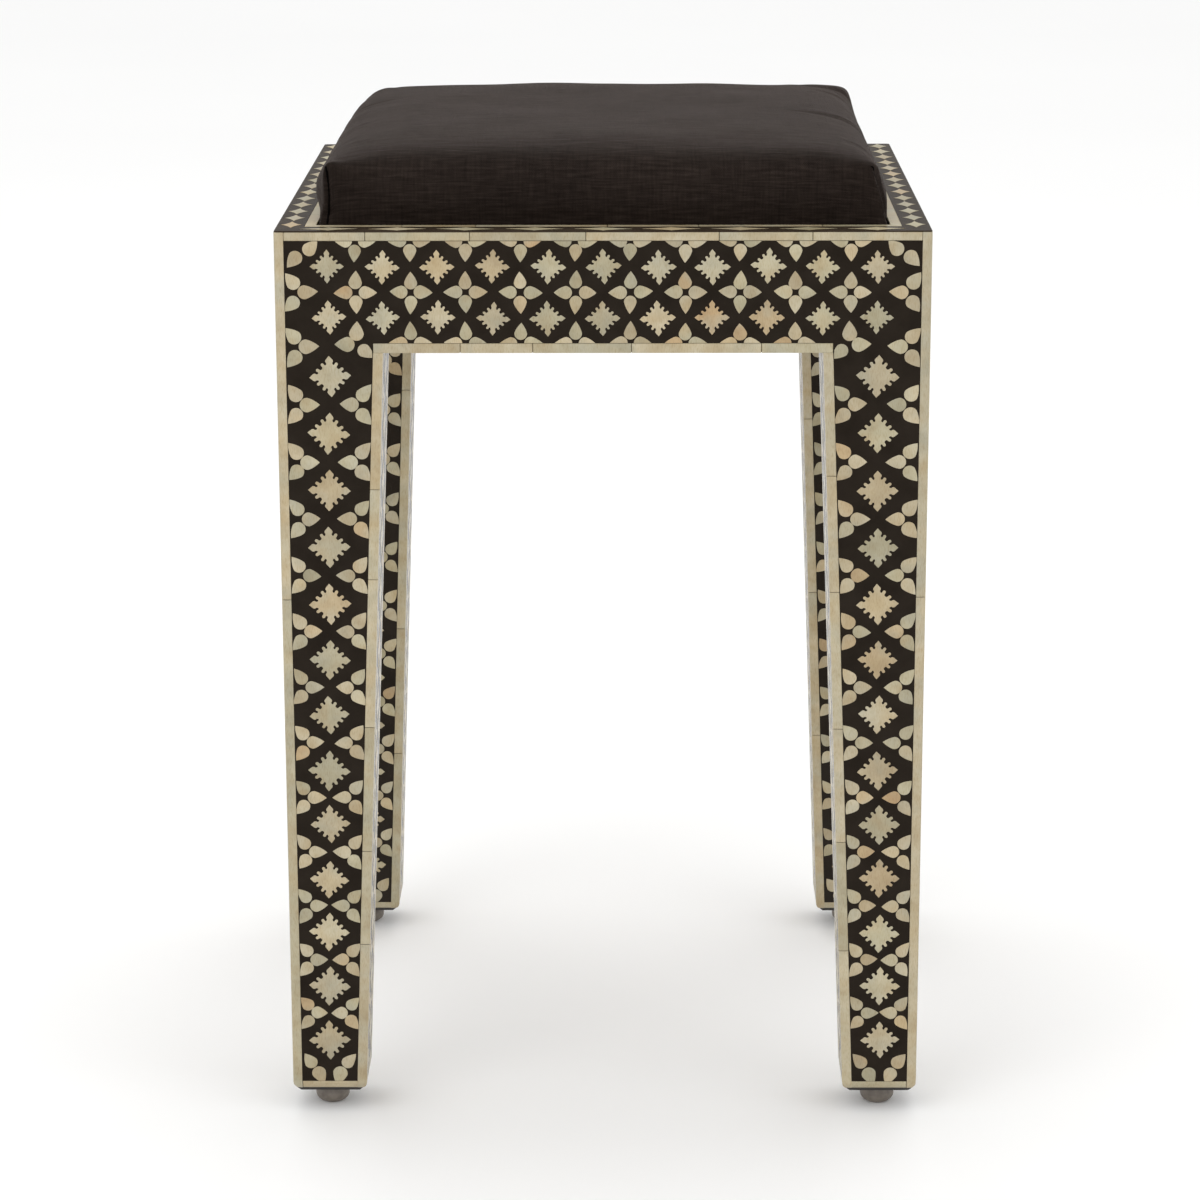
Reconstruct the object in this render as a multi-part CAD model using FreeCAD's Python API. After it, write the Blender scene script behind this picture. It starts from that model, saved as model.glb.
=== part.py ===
"""Square stool with bone and resin inlay, and a loose cushion that lifts out of its frame.

Sizes are in millimetres. The origin is on the floor under the middle of the stool, +Z is up and
the front faces -Y. Every side is drawn in its own frame, u to the right along the side, w inwards
from its outer face and z up. Every leg is drawn from its outer corner, x and y inwards.
"""

import FreeCAD
import Part
import math
import os

# Frame
WIDTH = 330.0
DEPTH = 330.0
FRAME_HEIGHT = 471.0
APRON_HEIGHT = 62.0
RAIL_THICKNESS = 20.0
LEG_TOP = 54.0
LEG_FOOT = 39.0
FOOT_REVEAL = 1.5
FOOT_ROUND = 4.0
FOOT_CHAMFER = 2.0

# Inlay
SKIN = 2.0
EDGE = 5.0
TOP_EDGE = 5.6
APRON_BONE_LENGTH = 48.0
LEG_BONE_LENGTH = 92.0
BONE_JOINT = 0.25
APRON_STAR = 17.6
APRON_STAR_PITCH = 27.6
LEG_STAR_MARGIN = 3.8
LEG_STAR_PITCH = 29.6
FOOT_STAR_ROOM = 23.5
TOP_STAR_MARGIN = 2.4
TOP_STAR_LENGTH = 20.0
TOP_STAR_WAIST = 0.28
TOP_STAR_PITCH_FRONT = 34.0
TOP_STAR_PITCH_SIDE = 24.0

# Joinery
TENON_THICKNESS = 8.0
TENON_SETBACK = 5.0
TENON_LENGTH = 25.0
TENON_SHOULDER = 6.0
TENON_CLEARANCE = 0.15
TENON_END_ROOM = 0.5
CLEAT_WIDTH = 15.0
CLEAT_HEIGHT = 18.0
CLEAT_END_ROOM = 0.5

# Wood screws driven through the cleats into the rails
SCREW_DIAMETER = 4.0
SCREW_HEAD = 8.0
SCREW_HEAD_HEIGHT = 2.6
SCREW_LENGTH = 26.0
SCREW_POINT = 4.0
SCREW_SPREAD = 0.32
SHANK_SIDES = 12

# Nail-on glides
GLIDE_HEIGHT = 11.0
GLIDE_DIAMETER = 18.0
GLIDE_ROUND = 4.5
NAIL_DIAMETER = 2.5
NAIL_HEAD = 7.0
NAIL_HEAD_HEIGHT = 1.2
NAIL_FLOOR = 5.0
NAIL_LENGTH = 26.0
NAIL_POINT = 3.0

# Seat
SEAT_RECESS = 20.0
SEAT_CLEARANCE = 1.0
FABRIC = 1.2
BOARD_THICKNESS = 9.0
BOARD_CORNER = 6.0
COVER_TURN_UNDER = 28.0
CUSHION_RISE = 38.0
CUSHION_BULGE = 3.4
CUSHION_DRAW = 1.6
PAD_CORNER_STEPS = 4
# Rings of the crowned cushion: share of its rise, inset from the widest ring as a share of its
# half width, corner radius, and share of the draw-in
PAD_RINGS = (
    (0.03, 0.024, 8.0, 0.0),
    (0.20, 0.007, 9.0, 0.5),
    (0.42, 0.0, 10.0, 1.0),
    (0.66, 0.013, 12.0, 1.0),
    (0.80, 0.05, 15.0, 1.0),
    (0.90, 0.17, 20.0, 0.8),
    (0.965, 0.42, 24.0, 0.5),
    (1.0, 0.78, 16.0, 0.0),
)
STAPLE_WIDTH = 10.0
STAPLE_WIRE = 0.9
STAPLE_LEG = 6.0
STAPLES_PER_SIDE = 6

# Levels and openings that follow from the sizes above
FOOT_Z = GLIDE_HEIGHT + FOOT_REVEAL
APRON_Z = FRAME_HEIGHT - APRON_HEIGHT
SEAT_Z = FRAME_HEIGHT - SEAT_RECESS
CORE_TOP_Z = FRAME_HEIGHT - SKIN
LEG_CORE = LEG_TOP - SKIN

# Each side: turn about Z, its own length, and the distance to the side opposite
SIDES = {
    "front": (0.0, WIDTH, DEPTH),
    "right": (90.0, DEPTH, WIDTH),
    "rear": (180.0, WIDTH, DEPTH),
    "left": (270.0, DEPTH, WIDTH),
}
# Each leg: turn about Z, and the outer corner it is drawn from
LEGS = {
    "front_left": (0.0, -WIDTH / 2, -DEPTH / 2),
    "front_right": (90.0, WIDTH / 2, -DEPTH / 2),
    "rear_right": (180.0, WIDTH / 2, DEPTH / 2),
    "rear_left": (270.0, -WIDTH / 2, DEPTH / 2),
}


def vec(x, y, z):
    return FreeCAD.Vector(x, y, z)


def turned(shape, angle, x, y):
    """The shape turned about Z and carried to (x, y)."""
    spin = FreeCAD.Rotation(vec(0, 0, 1), angle)
    shape = shape.copy()
    shape.Placement = FreeCAD.Placement(vec(x, y, 0), spin).multiply(shape.Placement)
    return shape


def on_side(shape, side):
    """From a side's own frame to the stool."""
    angle, _, across = SIDES[side]
    shape = shape.copy()
    shape.translate(vec(0, -across / 2, 0))
    return turned(shape, angle, 0, 0)


def on_leg(shape, leg):
    """From a leg's outer corner to the stool."""
    return turned(shape, *LEGS[leg])


def save(name, solids):
    if not isinstance(solids, list):
        solids = [solids]
    shape = solids[0] if len(solids) == 1 else Part.makeCompound(solids)
    if not shape.isValid() or any(solid.Volume <= 0 for solid in shape.Solids):
        raise ValueError(name + " is not a sound solid")
    shape.exportStep("parts/" + name + ".step")


def box(x0, x1, y0, y1, z0, z1):
    return Part.makeBox(x1 - x0, y1 - y0, z1 - z0, vec(x0, y0, z0))


def stack(section, levels):
    """A flat-sided solid through the sections, each a list of (x, y), at the given heights."""
    rings = [[vec(x, y, z) for x, y in section(z)] for z in levels]
    faces = [Part.Face(Part.makePolygon(ring + ring[:1])) for ring in (rings[0], rings[-1])]
    for low, high in zip(rings, rings[1:]):
        for i in range(len(low)):
            j = (i + 1) % len(low)
            quad = [low[i], low[j], high[j], high[i], low[i]]
            faces.append(Part.Face(Part.makePolygon(quad)))
    solid = Part.Solid(Part.Shell(faces))
    if solid.Volume < 0:
        solid.reverse()
    return solid


def mirrored(section):
    """The same section on the leg's other face, across its diagonal."""
    return lambda z: [(y, x) for x, y in reversed(section(z))]


def lengths(low, high, longest):
    """Butted bone lengths from low to high, with a resin joint between neighbours."""
    count = max(1, math.ceil((high - low) / longest))
    step = (high - low) / count
    half = BONE_JOINT / 2
    spans = []
    for i in range(count):
        start = low + i * step + (half if i else 0)
        end = low + (i + 1) * step - (half if i < count - 1 else 0)
        spans.append((start, end))
    return spans


def plate_with_holes(outline, holes, thickness):
    """A plate from a closed outline and holes, both lists of points, extruded."""
    wires = [Part.makePolygon(points + points[:1]) for points in [outline] + holes]
    return Part.makeFace(wires, "Part::FaceMakerBullseye").extrude(thickness)


def plate(outline, thickness):
    return Part.Face(Part.makePolygon(outline + outline[:1])).extrude(thickness)


# Legs

def leg_side(z):
    """Width of a leg over its inlay at a height: straight behind the apron, tapered below."""
    share = min(1.0, (z - FOOT_Z) / (APRON_Z - FOOT_Z))
    return LEG_FOOT + (LEG_TOP - LEG_FOOT) * share


def foot_levels():
    """Heights that step round the rounded lower end of the inlay, lowest first."""
    last = math.acos(1 - 0.85 * SKIN / FOOT_ROUND)
    return [FOOT_Z + FOOT_ROUND * (1 - math.sin(a)) for a in (last, 0.6 * last, 0.0)]


def foot_inset(z):
    """How far the rounded foot draws in at a height."""
    rise = z - FOOT_Z
    if rise >= FOOT_ROUND:
        return 0.0
    return FOOT_ROUND - math.sqrt(FOOT_ROUND**2 - (FOOT_ROUND - rise) ** 2)


def leg_core():
    """Wood post: chamfered foot, tapered inner faces, mortises, and a rebate for the seat."""
    foot_z = foot_levels()[0]

    def tapered(z):
        inset = SKIN + max(0.0, foot_z - z) / (foot_z - GLIDE_HEIGHT) * FOOT_CHAMFER
        far = leg_side(max(z, foot_z)) - inset
        return [(inset, inset), (far, inset), (far, far), (inset, far)]

    post = stack(tapered, [GLIDE_HEIGHT, foot_z, APRON_Z])
    head = box(SKIN, LEG_CORE, SKIN, LEG_CORE, APRON_Z, CORE_TOP_Z)
    rebate = box(RAIL_THICKNESS, LEG_TOP, RAIL_THICKNESS, LEG_TOP, SEAT_Z, FRAME_HEIGHT)
    core = post.fuse(head.cut(rebate)).removeSplitter()
    near = SKIN + TENON_SETBACK - TENON_CLEARANCE
    far = SKIN + TENON_SETBACK + TENON_THICKNESS + TENON_CLEARANCE
    end = LEG_CORE - TENON_LENGTH - TENON_END_ROOM
    low = APRON_Z + TENON_SHOULDER - TENON_CLEARANCE
    high = SEAT_Z - TENON_SHOULDER + TENON_CLEARANCE
    core = core.cut(box(end, LEG_TOP, near, far, low, high))
    return core.cut(box(near, far, end, LEG_TOP, low, high))


def leg_edging():
    """Bone strips on all four faces of a leg: corner, inner edge and foot strips."""
    top, apron = FRAME_HEIGHT, APRON_Z

    def corner(z):
        o = foot_inset(z)
        return [(o, o), (EDGE, o), (EDGE, SKIN), (SKIN, SKIN)]

    def outer_face_edge(z):
        o, s = foot_inset(z), leg_side(z)
        return [(s - EDGE, o), (s - o, o), (s - o, SKIN), (s - EDGE, SKIN)]

    def inner_face_front(z):
        o, s = foot_inset(z), leg_side(z)
        return [(s - SKIN, SKIN), (s - o, SKIN), (s - o, EDGE), (s - SKIN, EDGE)]

    def inner_face_edge(z):
        o, s = foot_inset(z), leg_side(z)
        return [(s - SKIN, s - EDGE), (s - o, s - EDGE), (s - o, s - o), (s - SKIN, s - SKIN)]

    def outer_foot(z):
        o, s = foot_inset(z), leg_side(z)
        return [(EDGE, o), (s - EDGE, o), (s - EDGE, SKIN), (EDGE, SKIN)]

    def inner_foot(z):
        o, s = foot_inset(z), leg_side(z)
        return [(s - SKIN, EDGE), (s - o, EDGE), (s - o, s - EDGE), (s - SKIN, s - EDGE)]

    runs = [
        (corner, top, LEG_BONE_LENGTH),
        (outer_face_edge, apron, LEG_BONE_LENGTH),
        (inner_face_front, apron, LEG_BONE_LENGTH),
        (inner_face_edge, apron, LEG_BONE_LENGTH),
        (outer_foot, FOOT_Z + EDGE, LEG_BONE_LENGTH),
        (inner_foot, FOOT_Z + EDGE, LEG_BONE_LENGTH),
    ]
    foot = foot_levels()
    strips = []
    for section, high, longest in runs:
        for start, end in lengths(foot[0], high, longest):
            levels = foot + [end] if start == foot[0] else [start, end]
            strips.append(stack(section, levels))
            strips.append(stack(mirrored(section), levels))
    return strips


def leg_inner_ground():
    """Resin between the bone strips on the two inner faces of a leg."""

    def face(z):
        s = leg_side(z)
        return [(s - SKIN, EDGE), (s, EDGE), (s, s - EDGE), (s - SKIN, s - EDGE)]

    levels = [FOOT_Z + EDGE, APRON_Z]
    return [stack(face, levels), stack(mirrored(face), levels)]


# Glides and nails, about the middle of a leg's lower end

def turned_pin(rings):
    """A slim many-sided pin up +Z through (radius, height) rings."""
    steps = [2 * math.pi * i / SHANK_SIDES for i in range(SHANK_SIDES)]
    radius = dict((z, r) for r, z in rings)

    def section(z):
        return [(radius[z] * math.cos(a), radius[z] * math.sin(a)) for a in steps]

    return stack(section, [z for _, z in rings])


def at_foot(solid):
    middle = leg_side(FOOT_Z) / 2
    solid.translate(vec(middle, middle, 0))
    return solid


def nail():
    """Nail with a flat head moulded into the glide and a shank driven into the leg."""
    r, head = NAIL_DIAMETER / 2, NAIL_HEAD / 2
    shoulder = NAIL_FLOOR + NAIL_HEAD_HEIGHT
    tip = NAIL_FLOOR + NAIL_LENGTH
    flat = turned_pin([(head, NAIL_FLOOR), (head, shoulder)])
    shank = turned_pin([(r, shoulder), (r, tip - NAIL_POINT), (r / 4, tip)])
    return at_foot(flat.fuse(shank))


def glide():
    """Plastic glide: a short round foot with a rounded floor edge, flat in the middle."""
    r, flat = GLIDE_DIAMETER / 2, GLIDE_DIAMETER / 2 - GLIDE_ROUND
    bend = GLIDE_ROUND * (1 - math.sqrt(0.5))
    points = [(0, 0), (flat, 0), (r - bend, bend), (r, GLIDE_ROUND), (r, GLIDE_HEIGHT)]
    points += [(0, GLIDE_HEIGHT), (0, 0)]
    wire = Part.makePolygon([vec(x, 0, z) for x, z in points])
    return at_foot(Part.Face(wire).revolve(vec(0, 0, 0), vec(0, 0, 1), 360))


# Rails, cleats and screws, in a side's own frame

def rail_half(side):
    """Half the length of a rail between the posts."""
    return SIDES[side][1] / 2 - LEG_CORE


def screw_places(side):
    reach = SCREW_SPREAD * 2 * rail_half(side)
    height = SEAT_Z - CLEAT_HEIGHT / 2
    return [(-reach, height), (reach, height)]


def screw(u, z):
    """Countersunk screw pointing outwards from the cleat's inner face."""
    r, head = SCREW_DIAMETER / 2, SCREW_HEAD / 2
    shank_end = SCREW_LENGTH - SCREW_POINT
    rings = [(head, 0.0), (r, SCREW_HEAD_HEIGHT), (r, shank_end), (r / 4, SCREW_LENGTH)]
    solid = turned_pin(rings)
    solid.rotate(vec(0, 0, 0), vec(1, 0, 0), 90)
    solid.translate(vec(u, RAIL_THICKNESS + CLEAT_WIDTH, z))
    return solid


def rail(side):
    """Rail core between two posts, with a tenon at each end."""
    half = rail_half(side)
    body = box(-half, half, SKIN, RAIL_THICKNESS, APRON_Z, CORE_TOP_Z)
    near = SKIN + TENON_SETBACK
    low, high = APRON_Z + TENON_SHOULDER, SEAT_Z - TENON_SHOULDER
    end = half + TENON_LENGTH
    tenons = box(-end, end, near, near + TENON_THICKNESS, low, high)
    return body.fuse(tenons).removeSplitter()


def cleat(side):
    """Batten inside a rail that the seat rests on."""
    half = rail_half(side) - CLEAT_END_ROOM
    far = RAIL_THICKNESS + CLEAT_WIDTH
    return box(-half, half, RAIL_THICKNESS, far, SEAT_Z - CLEAT_HEIGHT, SEAT_Z)


# Inlay on the outer faces and on top

def lozenge(u, z, half_width, half_height):
    """Corners of an upright lozenge on a side's outer face."""
    return [
        vec(u - half_width, 0, z),
        vec(u, 0, z - half_height),
        vec(u + half_width, 0, z),
        vec(u, 0, z + half_height),
    ]


def spread(first, last, pitch):
    """Places from first to last inclusive, at close to the pitch."""
    count = max(1, round(abs(last - first) / pitch))
    return [first + (last - first) * i / count for i in range(count + 1)]


def star_outlines(side):
    """Bone stars of a side: rows on the apron, in line with a column down each leg."""
    half = SIDES[side][1] / 2
    field = APRON_HEIGHT - 2 * EDGE
    rows = [APRON_Z + EDGE + field * share for share in (0.25, 0.75)]
    size = APRON_STAR / 2
    end = half - LEG_TOP / 2
    stars = []
    for z in rows:
        stars += [lozenge(u, z, size, size) for u in spread(-end, end, APRON_STAR_PITCH)]
    size = (LEG_FOOT - 2 * EDGE) / 2 - LEG_STAR_MARGIN
    column = spread(rows[0], FOOT_Z + EDGE + FOOT_STAR_ROOM, LEG_STAR_PITCH)[1:]
    for z in column:
        u = half - leg_side(z) / 2
        stars += [lozenge(-u, z, size, size), lozenge(u, z, size, size)]
    return stars


def side_ground(side, stars):
    """Resin over both legs and the apron of a side, cut out for its stars."""
    half = SIDES[side][1] / 2
    foot = FOOT_Z + EDGE
    top = FRAME_HEIGHT - EDGE

    def inner(z):
        return half - leg_side(z) + EDGE

    right = [
        (inner(APRON_Z), APRON_Z + EDGE),
        (inner(APRON_Z), APRON_Z),
        (inner(foot), foot),
        (half - EDGE, foot),
        (half - EDGE, top),
    ]
    left = [(-u, z) for u, z in reversed(right)]
    outline = [vec(u, 0, z) for u, z in right + left]
    return plate_with_holes(outline, stars, vec(0, SKIN, 0))


def apron_edging(side):
    """Bone strips along the top and the lower edge of an apron."""
    half = SIDES[side][1] / 2
    strips = []
    for reach, low, high in (
        (half - EDGE, FRAME_HEIGHT - EDGE, FRAME_HEIGHT),
        (half - LEG_TOP + EDGE, APRON_Z, APRON_Z + EDGE),
    ):
        for start, end in lengths(-reach, reach, APRON_BONE_LENGTH):
            strips.append(box(start, end, 0, SKIN, low, high))
    return strips


def top_field():
    """Near and far edge of the resin on top, from the outer face."""
    return SKIN, RAIL_THICKNESS - TOP_EDGE


def top_star_outlines(side):
    """Long four-point stars along the top of a rail, in the stool's frame."""
    pitch = TOP_STAR_PITCH_FRONT if side in ("front", "rear") else TOP_STAR_PITCH_SIDE
    near, far = top_field()
    middle = (near + far) / 2
    across = (far - near) / 2 - TOP_STAR_MARGIN
    along = min(TOP_STAR_LENGTH, pitch - TOP_STAR_MARGIN) / 2
    waist_u, waist_w = TOP_STAR_WAIST * along, TOP_STAR_WAIST * 1.6 * across
    end = SIDES[side][1] / 2 - far - along
    angle, _, opposite = SIDES[side]
    spin = FreeCAD.Rotation(vec(0, 0, 1), angle)
    stars = []
    for u in spread(-end, end, pitch):
        points = [
            (u - along, middle),
            (u - waist_u, middle - waist_w),
            (u, middle - across),
            (u + waist_u, middle - waist_w),
            (u + along, middle),
            (u + waist_u, middle + waist_w),
            (u, middle + across),
            (u - waist_u, middle + waist_w),
        ]
        stars.append([spin.multVec(vec(x, w - opposite / 2, CORE_TOP_Z)) for x, w in points])
    return stars


def rectangle(inset):
    """Corners of the stool's outline drawn in by an inset, at the top of the wood."""
    x, y = WIDTH / 2 - inset, DEPTH / 2 - inset
    return [vec(a * x, b * y, CORE_TOP_Z) for a, b in ((-1, -1), (1, -1), (1, 1), (-1, 1))]


def top_ground(stars):
    near, far = top_field()
    holes = [rectangle(far)] + stars
    return plate_with_holes(rectangle(near), holes, vec(0, 0, SKIN))


def top_edging(side):
    """Bone strip round the seat opening on one rail, mitred at the corners."""
    half = SIDES[side][1] / 2
    _, near = top_field()
    far = RAIL_THICKNESS
    strips = []
    for start, end in lengths(-(half - near), half - near, APRON_BONE_LENGTH):
        inner_start = max(start, -(half - far))
        inner_end = min(end, half - far)
        outline = [(start, near), (end, near), (inner_end, far), (inner_start, far)]
        points = [vec(u, w, CORE_TOP_Z) for u, w in outline]
        strips.append(plate(points, vec(0, 0, SKIN)))
    return strips


# Seat

def pad_ring(half_x, half_y, corner, draw, z):
    """Rounded rectangle in short lines, whose sides draw in between the corners."""
    points = []
    for turn in range(4):
        a, b = (half_y, half_x) if turn % 2 else (half_x, half_y)
        spin = FreeCAD.Rotation(vec(0, 0, 1), 90 * turn)
        flat = [vec(0, draw - b, z)]
        for i in range(PAD_CORNER_STEPS + 1):
            angle = math.pi / 2 * i / PAD_CORNER_STEPS
            x = a - corner + corner * math.sin(angle)
            flat.append(vec(x, corner - b - corner * math.cos(angle), z))
        points += [spin.multVec(point) for point in flat]
    return points


def ruled_solid(rings):
    """A closed solid ruled through rings of equally many points, in flat triangles."""
    faces = [Part.Face(Part.makePolygon(ring + ring[:1])) for ring in (rings[0], rings[-1])]
    for low, high in zip(rings, rings[1:]):
        for i in range(len(low)):
            j = (i + 1) % len(low)
            faces.append(Part.Face(Part.makePolygon([low[i], low[j], high[j], low[i]])))
            faces.append(Part.Face(Part.makePolygon([low[i], high[j], high[i], low[i]])))
    solid = Part.Solid(Part.Shell(faces))
    if solid.Volume < 0:
        solid.reverse()
    return solid


def pad_half(inset):
    """Half sizes of the seat inside its opening, drawn in by an inset."""
    room = RAIL_THICKNESS + SEAT_CLEARANCE + inset
    return WIDTH / 2 - room, DEPTH / 2 - room


def pad(inset, base):
    """The crowned cushion from a base height up, drawn in all round by an inset."""
    half_x, half_y = pad_half(inset)
    rings = [pad_ring(half_x, half_y, BOARD_CORNER, 0, base)]
    for rise, narrow, corner, draw in PAD_RINGS:
        wide_x = (half_x + CUSHION_BULGE) * (1 - narrow)
        wide_y = (half_y + CUSHION_BULGE) * (1 - narrow)
        z = FRAME_HEIGHT + (CUSHION_RISE - inset) * rise
        rings.append(pad_ring(wide_x, wide_y, corner, CUSHION_DRAW * draw, z))
    return ruled_solid(rings)


def seat_board():
    base = SEAT_Z + FABRIC
    outline = pad_ring(*pad_half(FABRIC), BOARD_CORNER, 0, base)
    return plate(outline, vec(0, 0, BOARD_THICKNESS))


def seat_foam():
    return pad(FABRIC, SEAT_Z + FABRIC + BOARD_THICKNESS)


def seat_cover(board, foam):
    """Fabric over the foam and round the board, turned under and open in the middle."""
    x, y = pad_half(COVER_TURN_UNDER)
    opening = box(-x, x, -y, y, SEAT_Z - FABRIC, SEAT_Z + 2 * FABRIC)
    return pad(0, SEAT_Z).cut(Part.makeCompound([board, foam, opening]))


def staples(side):
    """Wire staples through the turned-under cover into the board, along one side."""
    middle = RAIL_THICKNESS + SEAT_CLEARANCE + COVER_TURN_UNDER * 0.72
    reach = rail_half(side) - STAPLE_WIDTH
    half, wire = STAPLE_WIDTH / 2, STAPLE_WIRE / 2
    solids = []
    for u in spread(-reach, reach, 2 * reach / (STAPLES_PER_SIDE - 1)):
        crown = box(u - half, u + half, middle - wire, middle + wire, SEAT_Z - STAPLE_WIRE, SEAT_Z)
        legs = [
            box(a, a + STAPLE_WIRE, middle - wire, middle + wire, SEAT_Z - STAPLE_WIRE,
                SEAT_Z + STAPLE_LEG)
            for a in (u - half, u + half - STAPLE_WIRE)
        ]
        solids.append(crown.fuse(legs).removeSplitter())
    return solids


def build():
    os.makedirs("parts", exist_ok=True)
    core, edging, inner_ground = leg_core(), leg_edging(), leg_inner_ground()
    for leg in LEGS:
        save("leg_" + leg, on_leg(core, leg))
        save("leg_edging_" + leg, [on_leg(strip, leg) for strip in edging])
        save("leg_inner_ground_" + leg, [on_leg(panel, leg) for panel in inner_ground])
    save("foot_glides", [on_leg(glide(), leg) for leg in LEGS])
    save("glide_nails", [on_leg(nail(), leg) for leg in LEGS])

    cleat_screws, top_strips, top_stars, seat_staples = [], [], [], []
    for side in SIDES:
        save("rail_" + side, on_side(rail(side), side))
        save("seat_cleat_" + side, on_side(cleat(side), side))
        cleat_screws += [on_side(screw(u, z), side) for u, z in screw_places(side)]
        stars = star_outlines(side)
        save("resin_ground_" + side, on_side(side_ground(side, stars), side))
        bones = [plate(star, vec(0, SKIN, 0)) for star in stars]
        save("bone_stars_" + side, [on_side(bone, side) for bone in bones])
        save("apron_edging_" + side, [on_side(strip, side) for strip in apron_edging(side)])
        top_strips += [on_side(strip, side) for strip in top_edging(side)]
        top_stars += top_star_outlines(side)
        seat_staples += [on_side(staple, side) for staple in staples(side)]
    save("cleat_screws", cleat_screws)
    save("top_ground", top_ground(top_stars))
    save("top_stars", [plate(star, vec(0, 0, SKIN)) for star in top_stars])
    save("top_edging", top_strips)

    board, foam = seat_board(), seat_foam()
    save("seat_board", board)
    save("seat_foam", foam)
    save("seat_cover", seat_cover(board, foam))
    save("seat_staples", seat_staples)


build()
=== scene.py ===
import math
import random

import bmesh
import bpy
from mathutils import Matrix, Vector, noise


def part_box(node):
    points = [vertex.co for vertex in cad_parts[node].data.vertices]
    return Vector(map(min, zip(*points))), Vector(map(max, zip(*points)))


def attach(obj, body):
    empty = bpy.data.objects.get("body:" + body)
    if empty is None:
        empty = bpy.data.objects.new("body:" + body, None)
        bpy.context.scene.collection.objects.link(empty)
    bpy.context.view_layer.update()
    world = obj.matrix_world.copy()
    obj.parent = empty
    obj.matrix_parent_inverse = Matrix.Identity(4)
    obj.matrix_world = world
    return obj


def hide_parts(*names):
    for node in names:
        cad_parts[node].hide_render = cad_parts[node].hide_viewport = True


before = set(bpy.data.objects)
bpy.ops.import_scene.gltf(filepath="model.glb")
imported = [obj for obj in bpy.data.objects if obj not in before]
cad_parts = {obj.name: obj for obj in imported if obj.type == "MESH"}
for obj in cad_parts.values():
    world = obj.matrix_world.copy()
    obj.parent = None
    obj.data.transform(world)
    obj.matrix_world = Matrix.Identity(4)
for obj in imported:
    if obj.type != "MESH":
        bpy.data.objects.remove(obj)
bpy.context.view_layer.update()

MM = 0.001

LOW, HIGH = 0, 1
X, Z = 0, 2


def edge_of(node, end, axis):
    """Where the box of a node at rest ends on one axis, in millimetres."""
    return round(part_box(node)[end][axis] / MM, 3)


# Sizes in millimetres, read from the solids
HALF = edge_of("resin_ground_right", HIGH, X)
SKIN = HALF - edge_of("resin_ground_right", LOW, X)
EDGE = HALF - edge_of("resin_ground_front", HIGH, X)
RAIL = HALF - edge_of("rail_right", LOW, X)
TOP_Z = edge_of("top_ground", HIGH, Z)
APRON_Z = edge_of("rail_front", LOW, Z)
FOOT_Z = edge_of("resin_ground_front", LOW, Z) - EDGE
TOP_FIELD = HALF - edge_of("top_ground", HIGH, X), HALF - edge_of("top_edging", HIGH, X)
CLEAT_FACE = HALF - edge_of("seat_cleat_right", LOW, X)
SEAT_Z = edge_of("seat_cleat_front", HIGH, Z)
BOARD_Z = edge_of("seat_board", LOW, Z)
SCREW_Z = (edge_of("cleat_screws", LOW, Z) + edge_of("cleat_screws", HIGH, Z)) / 2
GLIDE_TOP = edge_of("foot_glides", HIGH, Z)
LEG_TOP = HALF - edge_of("leg_edging_front_right", LOW, X)

# Sizes in millimetres that the boxes don't show, as in the solids, and what follows from them
GLIDE_RADIUS, GLIDE_ROUND, FOOT_ROUND = 9.0, 4.5, 4.0
SEAT_GAP, TURN_UNDER = 1.0, 28.0
SCREW_SPREAD = 0.64
LEG_FOOT = 2 * (HALF + GLIDE_RADIUS - edge_of("foot_glides", HIGH, X))
SEAT_HALF = HALF - RAIL - SEAT_GAP
SCREW_AT = SCREW_SPREAD * edge_of("leg_front_right", LOW, X)

# Sizes in millimetres of the finish alone
CORNER_ROUND, LIP = 1.7, 0.7
JOINT, BONE_EASE = 0.28, 0.22
INLAY_DEPTH, INLAY_RIM, INLAY_PROUD, INLAY_EASE = 0.6, 0.03, 0.1, 0.16
BAND_INSET, BAND_EASE = 0.15, 0.2
STRIP_LENGTH, CUT_DRIFT = 50.0, 0.28
LEG_LINE = HALF - LEG_TOP + EDGE

# The pattern, in millimetres
ROW_STEP = 26.0
APRON_MIDDLE = (APRON_Z + TOP_Z) / 2
STAR_ROWS = APRON_MIDDLE - ROW_STEP / 2, APRON_MIDDLE + ROW_STEP / 2
STAR_REACH, STAR_GAPS = 138.0, 10
STAR_PITCH = 2 * STAR_REACH / STAR_GAPS
LEG_PITCH, LEG_STARS, LEG_FIELD_TOP = 29.69, 13, 430.0
BORDER_ROOM, END_ROOM, CORNER_ROOM = 0.12, 0.1, 0.4
STAR_DRIFT, PETAL_DRIFT = 0.45, 0.2
PETAL_ROUND, PETAL_LENGTH, FLOWER_REACH = 3.7, 10.2, 4.95
LOZENGE_HALF = 5.3

# Stars: height, then the width of the tips and the size of the body as shares
APRON_STAR, LEG_STAR = (17.8, 0.8, 0.92), (21.4, 0.84, 0.97)

# Sizes of the petals as shares: in the apron's flowers, at its ends, and at the feet
APRON_PETAL, BORDER_PETAL, FOOT_PETAL = 0.9, 0.97, 0.87

# Half a flower's petals: in from the border, up, and turned from straight in
TRIO = (4.5, 5.2, 130), (10.3, 0, 0), (4.5, -5.2, -130)

# Petals at the foot: in from the border, up, pointing up or down, turned from that, and size
FOOT_PAIR = (4.8, 10.6, 90, 38, 0.94), (9.0, 4.3, -90, 20, 1.02)

# Petals over the corner of apron and leg: towards the leg, up, turned from upright, and size
CORNER_FLOWER = (0.0, 5.0, 0, 0.98), (4.9, -0.6, -90, 1.0), (-4.0, -3.8, 128, 0.95)

# Petals in the apron's upper corners: in from the border, down, and turned from upright
UPPER_PETAL, TOP_PETAL = (5.8, 8.4, -135), (13.0, 4.2, 45)

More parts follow.
